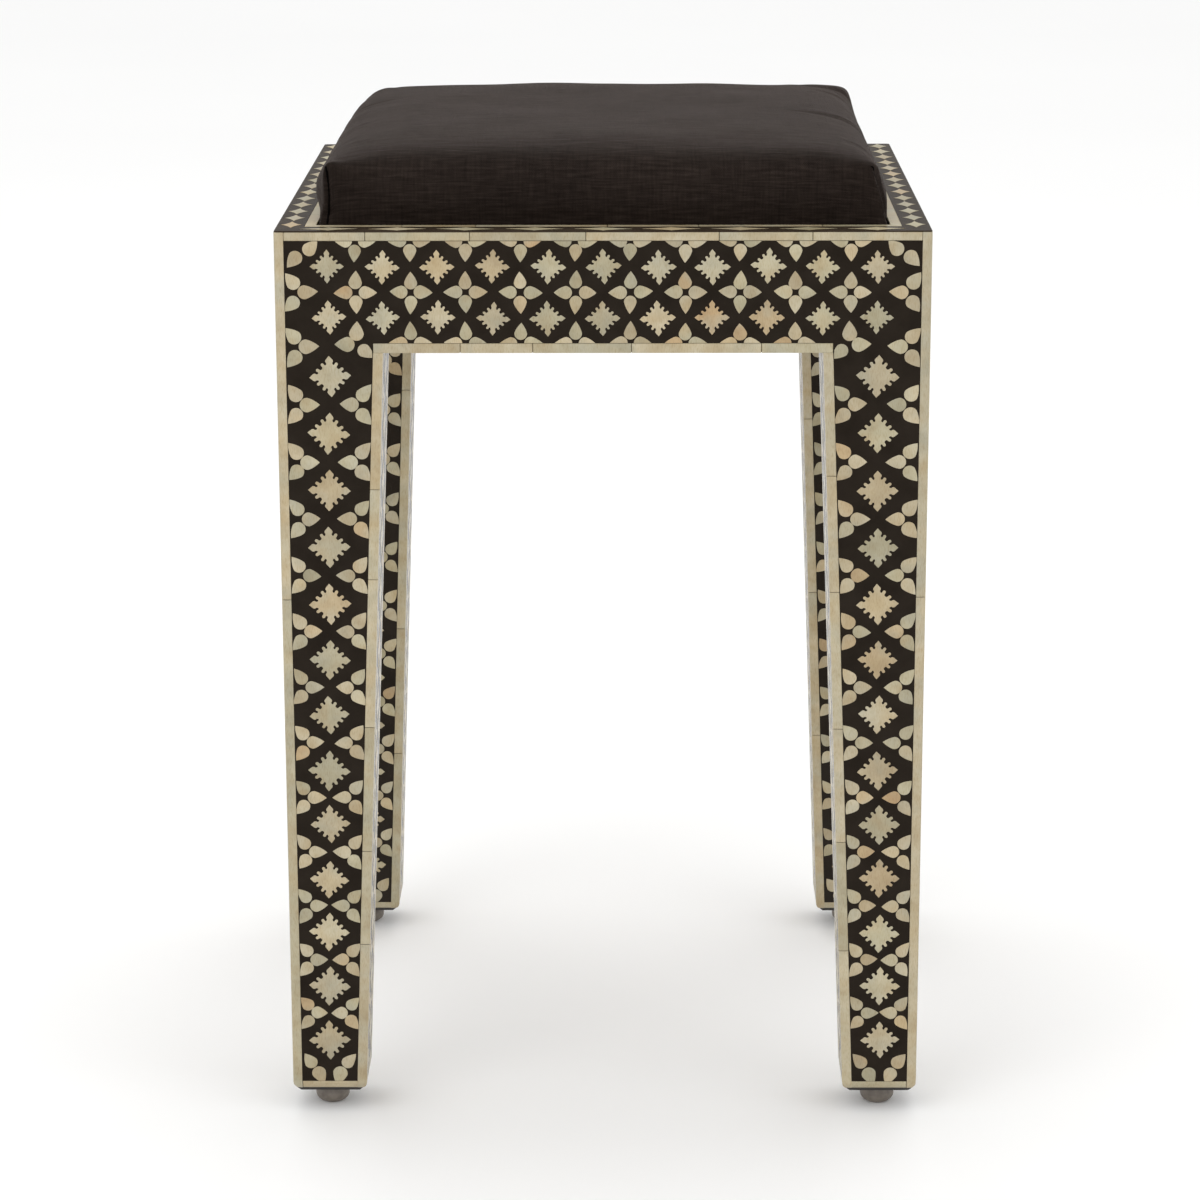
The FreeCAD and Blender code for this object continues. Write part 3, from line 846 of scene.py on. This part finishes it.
def fabric_material():
    """Dark slubby plain weave, with thick and thin threads both ways."""
    mat, tree, bsdf = material("cover_fabric")
    where = add(tree, "ShaderNodeTexCoord").outputs["Object"]
    split = add(tree, "ShaderNodeSeparateXYZ", Vector=where)
    facing = add(tree, "ShaderNodeSeparateXYZ", Vector=add(tree, "ShaderNodeTexCoord").outputs["Normal"])
    x_face = math_node(tree, "GREATER_THAN", math_node(tree, "ABSOLUTE", facing.outputs["X"]),
                       math_node(tree, "ABSOLUTE", facing.outputs["Y"]))
    y_face = math_node(tree, "SUBTRACT", 1.0, x_face)
    down = math_node(tree, "MINIMUM", math_node(tree, "SUBTRACT", split.outputs["Z"], FOLD_Z * MM), 0.0)

    def unfolded(axis, face):
        """The top's own thread coordinate, carried over the edge and down the faces that it runs to."""
        way = math_node(tree, "SIGN", facing.outputs[axis])
        fall = math_node(tree, "MULTIPLY", math_node(tree, "MULTIPLY", down, way), face)
        return math_node(tree, "SUBTRACT", split.outputs[axis], fall)

    along, across = unfolded("X", x_face), unfolded("Y", y_face)
    flat = add(tree, "ShaderNodeCombineXYZ", X=along, Y=across).outputs[0]

    def threads(scale, detail=2.0, rough=0.5):
        return noise_of(tree, stretched(tree, flat, scale), 1.0, detail, rough)

    def wave(place):
        return math_node(tree, "SINE", math_node(tree, "MULTIPLY", place, 2 * math.pi / THREAD_PITCH))

    slub, warp = threads((75, 950, 1), 3.0, 0.6), threads((950, 75, 1))
    thick_weft, thick_warp = threads((36, 230, 1)), threads((420, 24, 1))
    weave = math_node(tree, "MULTIPLY", wave(across), wave(along))
    cloud = noise_of(tree, where, 14.0, 4.0)
    base = ramp(tree, slub, *FABRIC_TONES)
    base = mixed(tree, "MULTIPLY", 0.4, base, greys(tree, warp, (0.3, 0.55), (0.7, 1.45)))
    for thick in (thick_weft, thick_warp):
        base = mixed(tree, "MULTIPLY", 0.18, base, greys(tree, thick, (0.35, 0.72), (0.65, 1.28)))
    base = mixed(tree, "SOFT_LIGHT", 0.6, base, greys(tree, cloud, (0.3, 0.4), (0.7, 0.6)))
    gloss = math_node(tree, "MULTIPLY_ADD", slub, -0.25, 0.85)
    fill(tree, bsdf, Base_Color=base, Roughness=gloss, IOR=1.3, Specular_IOR_Level=0.1,
         Specular_Tint=(0.9, 0.75, 0.68, 1), Sheen_Weight=0.165, Sheen_Roughness=0.24,
         Sheen_Tint=(0.84, 0.70, 0.64, 1))
    height = math_node(tree, "MULTIPLY", weave, 0.2)
    for layer, share in ((slub, 0.9), (warp, 0.8), (thick_weft, 1.0), (thick_warp, 0.8)):
        height = math_node(tree, "MULTIPLY_ADD", layer, share, height)
    bump(tree, bsdf, height, 0.5, 0.0009)
    return mat


def dress(node, mat):
    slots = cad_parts[node].data.materials
    slots.clear()
    slots.append(mat)


# Cushion

def smooth(a, b, x):
    """Eases from 0 at a to 1 at b."""
    t = max(0.0, min(1.0, (x - a) / (b - a)))
    return t * t * (3 - 2 * t)


def over_frame(*rises):
    return tuple(TOP_Z + rise for rise in rises)


def from_side(*insets):
    return tuple(SEAT_HALF - inset for inset in insets)


# Heights and grid of the sewn box
CUSHION_FRONT, CUSHION_REAR = over_frame(34.5, 37.5)
CUSHION_GRID = (66, 12)
HEM_CREASE, HEM_LIFT = 0.9, 4.0

# The filling: frames of cloth, the farthest that a point may move, and where and how firmly it is held
SWELL_FRAMES, SWELL_LIMIT = 20, 6.0
HELD_LOW, HELD_SIDE, HELD_EDGE = over_frame(-5, 9), from_side(13, 4), (-13, -4)
EDGE_HOLD, CORNER_HOLD = 0.4, 0.95

# Smoothing: steps, the height that it starts from, and the steps that a sewn corner is spared
SOFT_STEPS, SOFT_FROM = 34, TOP_Z + 2
CORNER_SPARED, SLACK_CORNER_SPARED, SPARED_NEAR = 28, 21, from_side(48, 4)

# Settling: how far the sides belly out, and how far the corners are drawn in
LEFT_BELLY, RIGHT_BELLY, FRONT_BELLY = 2.8, 0.8, 2.0
LEFT_DRAW, RIGHT_DRAW, FRONT_DRAW = 2.0, 0.4, 0.8
RIGHT_LEAN, CORNER_DROP = 3.2, 3.5
SLACK_LEAN, SLACK_DROP = 5.5, 1.2
EAR_RISE, EAR_REACH = 2.0, 0.6
RIPPLE, RIPPLE_LENGTH = 0.8, 38.0

# Where these moves come in: between two heights, or two distances from the middle
TOP_FROM, SIDE_FROM, LEAN_FROM = over_frame(9, 25), over_frame(1, 13), over_frame(7, 29)
BELLY_UNTIL, EAR_FROM = over_frame(18, 32), over_frame(15, 26)
CORNER_NEAR, CORNER_TIGHT, FACE_NEAR = from_side(48, 1), from_side(30, 1), from_side(20, 3)
LEAN_NEAR, LEFT_BELLY_NEAR, EAR_NEAR = from_side(54, 3), from_side(14, 174), from_side(14, 5)
SLACK_BACK, SLACK_LEFT = from_side(104, 0), from_side(74, 4)

# Folds by the corners, with a seam in each, and the height where the cover turns down
FOLD_AT, FOLD_WIDTH, FOLD_DEPTH, FOLD_BOW = SEAT_HALF - 3.8, 1.6, 2.8, 1.8
FOLD_LOW, FOLD_HIGH = over_frame(-5, 31)
FOLD_NEAR, FOLD_FROM, FOLD_UNTIL = from_side(16, 8), over_frame(1, 6), over_frame(25, 32)
FOLD_Z = TOP_Z + 24
SEAM_LOW, SEAM_HIGH = over_frame(-1, 29)
SEAM_STEPS = 48
THREAD_RADIUS, THREAD_TWIST = 0.6, 0.1


def cushion_edge(y):
    """Height of the cushion's upper edge: it stands a little higher at the rear."""
    return CUSHION_FRONT + (CUSHION_REAR - CUSHION_FRONT) * (y + SEAT_HALF) / (2 * SEAT_HALF)


def box_cushion():
    """The cushion before it swells: a sewn box on an even grid, with its hem turned under."""
    across, up = CUSHION_GRID
    index, points, faces = {}, [], []

    def corner(i, j, k):
        if (i, j, k) not in index:
            x, y = (SEAT_HALF * (2 * n / across - 1) for n in (i, j))
            z = SEAT_Z + (cushion_edge(y) - SEAT_Z) * k / up
            index[i, j, k] = len(points)
            points.append(Vector((x, y, z)) * MM)
        return index[i, j, k]

    for a in range(across):
        for b in range(across):
            quad = ((a, b), (a + 1, b), (a + 1, b + 1), (a, b + 1))
            faces.append([corner(i, j, up) for i, j in quad])
            faces.append([corner(i, j, 0) for i, j in reversed(quad)])
        for k in range(up):
            quad = ((a, k), (a + 1, k), (a + 1, k + 1), (a, k + 1))
            faces.append([corner(i, 0, n) for i, n in quad])
            faces.append([corner(i, across, n) for i, n in reversed(quad)])
            faces.append([corner(0, j, n) for j, n in reversed(quad)])
            faces.append([corner(across, j, n) for j, n in quad])
    mesh = bpy.data.meshes.new("cushion")
    mesh.from_pydata(points, [], faces)
    creases = mesh.attributes.new("crease_edge", "FLOAT", "EDGE")
    for edge in mesh.edges:
        ends = [mesh.vertices[v].co / MM for v in edge.vertices]
        rim = all(max(abs(e.x), abs(e.y)) > SEAT_HALF - 0.1 for e in ends)
        if rim and all(e.z < SEAT_Z + 0.1 for e in ends):
            creases.data[edge.index].value = HEM_CREASE
    piece = bpy.data.objects.new("cushion", mesh)
    bpy.context.scene.collection.objects.link(piece)
    return piece


def applied(piece, name):
    with bpy.context.temp_override(object=piece, active_object=piece, selected_objects=[piece]):
        bpy.ops.object.modifier_apply(modifier=name)


def swell(piece):
    """Fills the cushion: pressure inside, held by its seams and where it stands in the opening."""
    start = [v.co.copy() for v in piece.data.vertices]
    pinned = piece.vertex_groups.new(name="held")
    for v in piece.data.vertices:
        x, y, z = (value / MM for value in v.co)
        near_x, near_y = smooth(*HELD_SIDE, abs(x)), smooth(*HELD_SIDE, abs(y))
        near_z = smooth(*HELD_EDGE, z - cushion_edge(y))
        hold = max(1 - smooth(*HELD_LOW, z), EDGE_HOLD * max(near_x, near_y) * near_z,
                   CORNER_HOLD * near_x * near_y)
        pinned.add([v.index], hold, "REPLACE")
    cloth = piece.modifiers.new("cloth", "CLOTH")
    cloth.settings.vertex_group_mass = "held"
    cloth.settings.use_pressure = True
    cloth.settings.uniform_pressure_force = 4.0
    cloth.settings.tension_stiffness = 12
    cloth.settings.compression_stiffness = 8
    cloth.settings.bending_stiffness = 0.5
    cloth.settings.effector_weights.gravity = 0
    scene = bpy.context.scene
    cloth.point_cache.frame_start, cloth.point_cache.frame_end = 1, SWELL_FRAMES
    for number in range(1, SWELL_FRAMES + 1):
        scene.frame_set(number)
    applied(piece, "cloth")
    scene.frame_set(1)
    for v, old in zip(piece.data.vertices, start):
        step = v.co - old
        if step.length > SWELL_LIMIT * MM:
            v.co = old + step.normalized() * SWELL_LIMIT * MM
    piece.vertex_groups.clear()


def soften(piece):
    """Rounds the upper edges well, and the sewn corners a little."""
    bm = bmesh.new()
    bm.from_mesh(piece.data)
    loose = [v for v in bm.verts if v.co.z > SOFT_FROM * MM]
    steps = {}
    for v in loose:
        x, y = v.co.x / MM, v.co.y / MM
        spared = SLACK_CORNER_SPARED if x < 0 < y else CORNER_SPARED
        steps[v] = SOFT_STEPS - spared * smooth(*SPARED_NEAR, abs(x)) * smooth(*SPARED_NEAR, abs(y))
    for step in range(SOFT_STEPS):
        bmesh.ops.smooth_vert(bm, verts=[v for v in loose if step < steps[v]], factor=0.5,
                              use_axis_x=True, use_axis_y=True, use_axis_z=True)
    bm.to_mesh(piece.data)
    bm.free()


def crease_lines():
    """Creases drawn from the seams: start, run, width and depth, on the cushion's top."""
    lines = []
    seam = SEAT_HALF + 5
    for way in (-1, 1):
        for i in range(7):
            y = -132 + 43 * i + jitter(12)
            lines.append((way * seam, y, -way * (24 + 38 * rng.random()), jitter(16),
                          2.6 + 2.2 * rng.random(), 0.3 + 1.0 * rng.random()))
    for i in range(5):
        lines.append((-112 + 56 * i + jitter(14), seam, jitter(12), -36, 3.5, 0.5 + 0.4 * rng.random()))
    for i in range(4):
        lines.append((-105 + 70 * i + jitter(18), -seam, jitter(10), 30, 3.5, 0.2 + 0.3 * rng.random()))
    return lines


def creased(lines, x, y):
    """How far the creases draw a point of the top down."""
    drop = 0.0
    for x0, y0, dx, dy, width, depth in lines:
        length = math.hypot(dx, dy)
        t = ((x - x0) * dx + (y - y0) * dy) / length ** 2
        away = ((x - x0) * dy - (y - y0) * dx) / length
        if -0.2 < t < 1:
            fade = 1 - smooth(0.15, 1, t)
            valley = math.exp(-(away / width) ** 2)
            ridge = math.exp(-((away - 1.9 * width) / (1.3 * width)) ** 2)
            drop += depth * fade * (valley - 0.55 * ridge)
    return drop


def fold_line(z):
    """How far from the middle the corner folds run, bowed in a little halfway up."""
    share = min(1, max(0, (z - FOLD_LOW) / (FOLD_HIGH - FOLD_LOW)))
    return FOLD_AT - FOLD_BOW * math.sin(math.pi * share)


def settle(piece):
    """Moves after the filling: full sides between drawn-in corners, creases, an ear, folds and hem."""
    lines = crease_lines()
    for v in piece.data.vertices:
        x, y, z = (value / MM for value in v.co)
        up, rise, high = smooth(*TOP_FROM, z), smooth(*SIDE_FROM, z), smooth(*LEAN_FROM, z)
        near_x, near_y = smooth(*CORNER_NEAR, abs(x)), smooth(*CORNER_NEAR, abs(y))
        tight_x, tight_y = smooth(*CORNER_TIGHT, abs(x)), smooth(*CORNER_TIGHT, abs(y))
        belly = rise * (1 - smooth(*BELLY_UNTIL, z))
        way_x, way_y = math.copysign(1, x), math.copysign(1, y)
        full, drawn = RIGHT_BELLY, RIGHT_DRAW
        if x < 0:
            full, drawn = LEFT_BELLY * smooth(*LEFT_BELLY_NEAR, y), LEFT_DRAW
        x += way_x * (full * belly * smooth(*FACE_NEAR, abs(x)) * (1 - tight_y)
                      - drawn * rise * tight_x * tight_y)
        x -= RIGHT_LEAN * high * smooth(*LEAN_NEAR, x)
        y += way_y * (FRONT_BELLY * belly * smooth(*FACE_NEAR, abs(y)) * (1 - near_x)
                      - FRONT_DRAW * rise * tight_x * tight_y)
        z -= up * creased(lines, x, y)
        z -= CORNER_DROP * up * near_x * near_y * smooth(SEAT_HALF, -SEAT_HALF, y)
        slack = smooth(*SLACK_BACK, y) ** 2 * smooth(*SLACK_LEFT, -x)
        x += SLACK_LEAN * high * slack
        z -= SLACK_DROP * up * slack * near_y
        ear = smooth(*EAR_FROM, z) * smooth(*EAR_NEAR, -x) * smooth(*EAR_NEAR, -y)
        z += EAR_RISE * ear
        x -= EAR_REACH * ear
        y -= EAR_REACH * ear
        z += RIPPLE * up * noise.noise(Vector((x, y, z)) / RIPPLE_LENGTH)
        along, face = (abs(x), abs(y)) if x * y > 0 else (abs(y), abs(x))
        fold = math.exp(-((along - fold_line(z)) / FOLD_WIDTH) ** 2) * smooth(*FOLD_NEAR, face)
        groove = FOLD_DEPTH * fold * smooth(*FOLD_FROM, z) * (1 - smooth(*FOLD_UNTIL, z))
        if x * y > 0:
            y -= math.copysign(groove, y)
        else:
            x -= math.copysign(groove, x)
        if z < SEAT_Z + 1 and max(abs(x), abs(y)) < SEAT_HALF - TURN_UNDER:
            z = BOARD_Z + HEM_LIFT
        v.co = Vector((x, y, z)) * MM


def cushion(mat):
    piece = box_cushion()
    swell(piece)
    soften(piece)
    rounds = piece.modifiers.new("rounds", "SUBSURF")
    rounds.levels = rounds.render_levels = 1
    applied(piece, "rounds")
    settle(piece)
    piece.data.shade_smooth()
    piece.data.materials.append(mat)
    finish_piece(piece, ("seat_cover", "seat_foam"), "seat")
    return piece


def seams(piece, mat):
    """Sewn seams in the folds by the four corners, one on each face, going round the same way."""
    bones = Bones()
    for sx in (-1, 1):
        for sy in (-1, 1):
            path = []
            on_y = sx * sy > 0
            inward = Vector((0, -sy, 0)) if on_y else Vector((-sx, 0, 0))
            for i in range(SEAM_STEPS + 1):
                z = SEAM_LOW + (SEAM_HIGH - SEAM_LOW) * i / SEAM_STEPS
                along = fold_line(z)
                outside = (along * sx, HALF * sy, z) if on_y else (HALF * sx, along * sy, z)
                _, point, _, _ = piece.ray_cast(Vector(outside) * MM, inward)
                path.append(point / MM)
            rings = []
            for i, point in enumerate(path):
                radius = THREAD_RADIUS + THREAD_TWIST * math.sin(i * 1.6)
                rings.append([(a, b, point.z) for a, b in arc(point.x, point.y, radius, 0, 315, 8)])
            bones.add(rings)
    thread = bones.make("corner_seams", mat, "cover_fabric", body="seat")
    thread.data.shade_smooth()


def glides(mat):
    """Turned plastic glides: a rounded floor edge, a flat bottom and a thin collar."""
    bones = Bones()
    axis, flat, shoulder, collar, ease = 0.01, 4.6, 9.0, 8.7, 0.4
    profile = [(axis, 0.0), (flat + ease, 0.0)]
    for i in range(1, 8):
        t = i / 7 * math.pi / 2
        profile.append((flat + (GLIDE_RADIUS - flat) * math.sin(t), GLIDE_ROUND * (1 - math.cos(t))))
    profile += [(GLIDE_RADIUS, shoulder - ease), (collar, shoulder), (collar, GLIDE_TOP), (axis, GLIDE_TOP)]
    middle = LEG_FOOT / 2
    for leg in LEGS:
        place = leg_place(leg)
        bones.add([[place(a, b, z) for a, b in arc(middle, middle, r, 0, 352.5, 48)] for r, z in profile])
    piece = bones.make("turned_glides", mat, "glide_plastic", ("foot_glides",))
    piece.data.polygons.foreach_set("use_smooth", [len(f.vertices) == 4 for f in piece.data.polygons])


def screws(mat):
    """Countersunk screws in the cleats, with a crossed recess in each slightly domed head."""
    bones = Bones()
    head = (2.0, -2.6), (4.0, -0.05), (3.85, 0.2), (3.2, 0.45)
    arm, tip, dome, recess, taper = 0.55, 2.1, 0.5, -1.2, 0.8
    count, levels = 24, len(head)
    cross = []
    for k in range(4):
        cross += moved(((arm, arm), (arm, tip), (-arm, tip)), 0, 0, 90 * k, 1)
    corners = len(cross)
    spots = [(a, b, rise) for r, rise in head for a, b in arc(0, 0, r, 0, 345, count)]
    spots += [(a, b, dome) for a, b in cross]
    spots += [(taper * a, taper * b, recess) for a, b in cross]
    faces = [list(range(count))] + ring_faces(count, levels)
    rim, slot = count * (levels - 1), count * levels
    for k in range(corners):
        one, two, three = (rim + (3 + 2 * k + n) % count for n in range(3))
        here, after = slot + k, slot + (k + 1) % corners
        faces += [[one, two, here], [two, three, here], [three, after, here],
                  [here, after, after + corners, here + corners]]
    faces.append([slot + corners + k for k in range(corners)])
    for side in SIDES:
        place = side_place(side)
        for at in (-SCREW_AT, SCREW_AT):
            bones.add_mesh([place(at + a, SCREW_Z + b, -(CLEAT_FACE + rise)) for a, b, rise in spots], faces)
    bones.make("screws", mat, "fastener_steel", ("cleat_screws",))


# Build

bone = bone_material("bone", specular=0.4, coat=0.3)
top_bone = bone_material("bone_top", specular=0.1, coat=0.0)
resin = resin_material("black_resin", specular=0.06)
inner_resin = resin_material("black_resin_inner", specular=0.13)
# The top band is the same resin, its colour lifted 2.2 times with its shine nearly off: painted sheen for
# the light that the top catches at a low angle
band = resin_material("black_resin_top_painted_sheen", specular=0.004, painted_sheen_lift=2.2)
leg_wood = wood_material("leg_wood", *FRAME_TONES, 2)
rail_woods = [wood_material("rail_wood_" + axis, *FRAME_TONES, i) for i, axis in enumerate("xy")]
cleat_woods = [wood_material("cleat_wood_" + axis, *CLEAT_TONES, i) for i, axis in enumerate("xy")]
ply = ply_material()
steel = steel_material()
plastic = plastic_material()
fabric = fabric_material()

for side in SIDES:
    stars, petals = side_pattern(side)
    stars.make("stars_" + side, bone, "bone", ("bone_stars_" + side,))
    petals.make("petals_" + side, bone, "bone")
    side_ground(side).make("ground_" + side, resin, "black_resin", ("resin_ground_" + side,))
    apron_strips(side).make("apron_strips_" + side, bone, "bone", ("apron_edging_" + side,), BONE_EASE)
    axis = SIDES[side] // 90 % 2
    dress("rail_" + side, rail_woods[axis])
    dress("seat_cleat_" + side, cleat_woods[axis])

for leg in LEGS:
    leg_strips(leg).make("leg_strips_" + leg, bone, "bone", ("leg_edging_" + leg,), BONE_EASE)
    inner_ground(leg).make("inner_face_" + leg, inner_resin, "black_resin", ("leg_inner_ground_" + leg,))
    stars, petals = Bones(), Bones()
    for swap in (False, True):
        leg_pattern(stars, petals, inner_place(leg, swap), lambda z: EDGE,
                    lambda z: leg_side(z) - EDGE, APRON_Z)
    stars.make("inner_stars_" + leg, bone, "bone")
    petals.make("inner_petals_" + leg, bone, "bone")
    dress("leg_" + leg, leg_wood)

top_ground().make("top_band", band, "black_resin", ("top_ground",))
top_lozenges().make("top_lozenges", top_bone, "bone", ("top_stars",))
top_strips().make("top_strips", top_bone, "bone", ("top_edging",), BONE_EASE)
glides(plastic)
seat = cushion(fabric)
seams(seat, thread_material())
dress("seat_board", ply)
screws(steel)
for node in ("glide_nails", "seat_staples"):
    dress(node, steel)


# Studio, in metres, watts and degrees

LIGHTS = (
    ("key", (-1.6, -2.2, 2.6), 1.8, 14),
    ("fill", (2.2, -1.6, 1.6), 1.8, 6),
    ("overhead", (0.0, 0.9, 2.8), 2.0, 14),
)
LIGHTS_AIM = Vector((0, 0, 0.28))
EYE = 0.0140, -2.0457, 0.7631
LOOK_DOWN, ROLL, LOOK_LEFT = 14.39, 0.12, 0.45
SENSOR, LENS = 36.0, 113.7
FAR = 200


def studio():
    bpy.ops.mesh.primitive_grid_add(x_subdivisions=8, y_subdivisions=8, size=40)
    floor = bpy.context.object
    floor.name = "floor"
    mat, tree, bsdf = material("floor")
    cloud = noise_of(tree, coords(tree), 0.6, 3.0)
    base = ramp(tree, cloud, (0.3, (0.92, 0.92, 0.915)), (0.7, (0.94, 0.94, 0.935)))
    fill(tree, bsdf, Base_Color=base, Roughness=0.75)
    floor.data.materials.append(mat)

    world = bpy.data.worlds.new("studio")
    bpy.context.scene.world = world
    world.use_nodes = True
    tree = world.node_tree
    sky = add(tree, "ShaderNodeTexCoord").outputs["Generated"]
    height = add(tree, "ShaderNodeSeparateXYZ", Vector=sky).outputs["Z"]
    glow = greys(tree, height, (0.0, 0.91), (0.12, 0.8), (0.55, 1.0))
    fill(tree, tree.nodes["Background"], Color=glow, Strength=1.05)
    bpy.context.scene.view_settings.view_transform = "Standard"

    for name, spot, size, power in LIGHTS:
        light = bpy.data.lights.new(name, "AREA")
        light.size, light.energy = size, power
        lamp = bpy.data.objects.new(name, light)
        bpy.context.scene.collection.objects.link(lamp)
        lamp.location = spot
        lamp.rotation_euler = (LIGHTS_AIM - Vector(spot)).to_track_quat("-Z", "Y").to_euler()


def camera():
    data = bpy.data.cameras.new("camera")
    data.sensor_width, data.lens = SENSOR, LENS
    data.clip_end = FAR
    eye = bpy.data.objects.new("camera", data)
    bpy.context.scene.collection.objects.link(eye)
    eye.location = EYE
    eye.rotation_euler = [math.radians(angle) for angle in (90 - LOOK_DOWN, ROLL, LOOK_LEFT)]
    bpy.context.scene.camera = eye


studio()
camera()
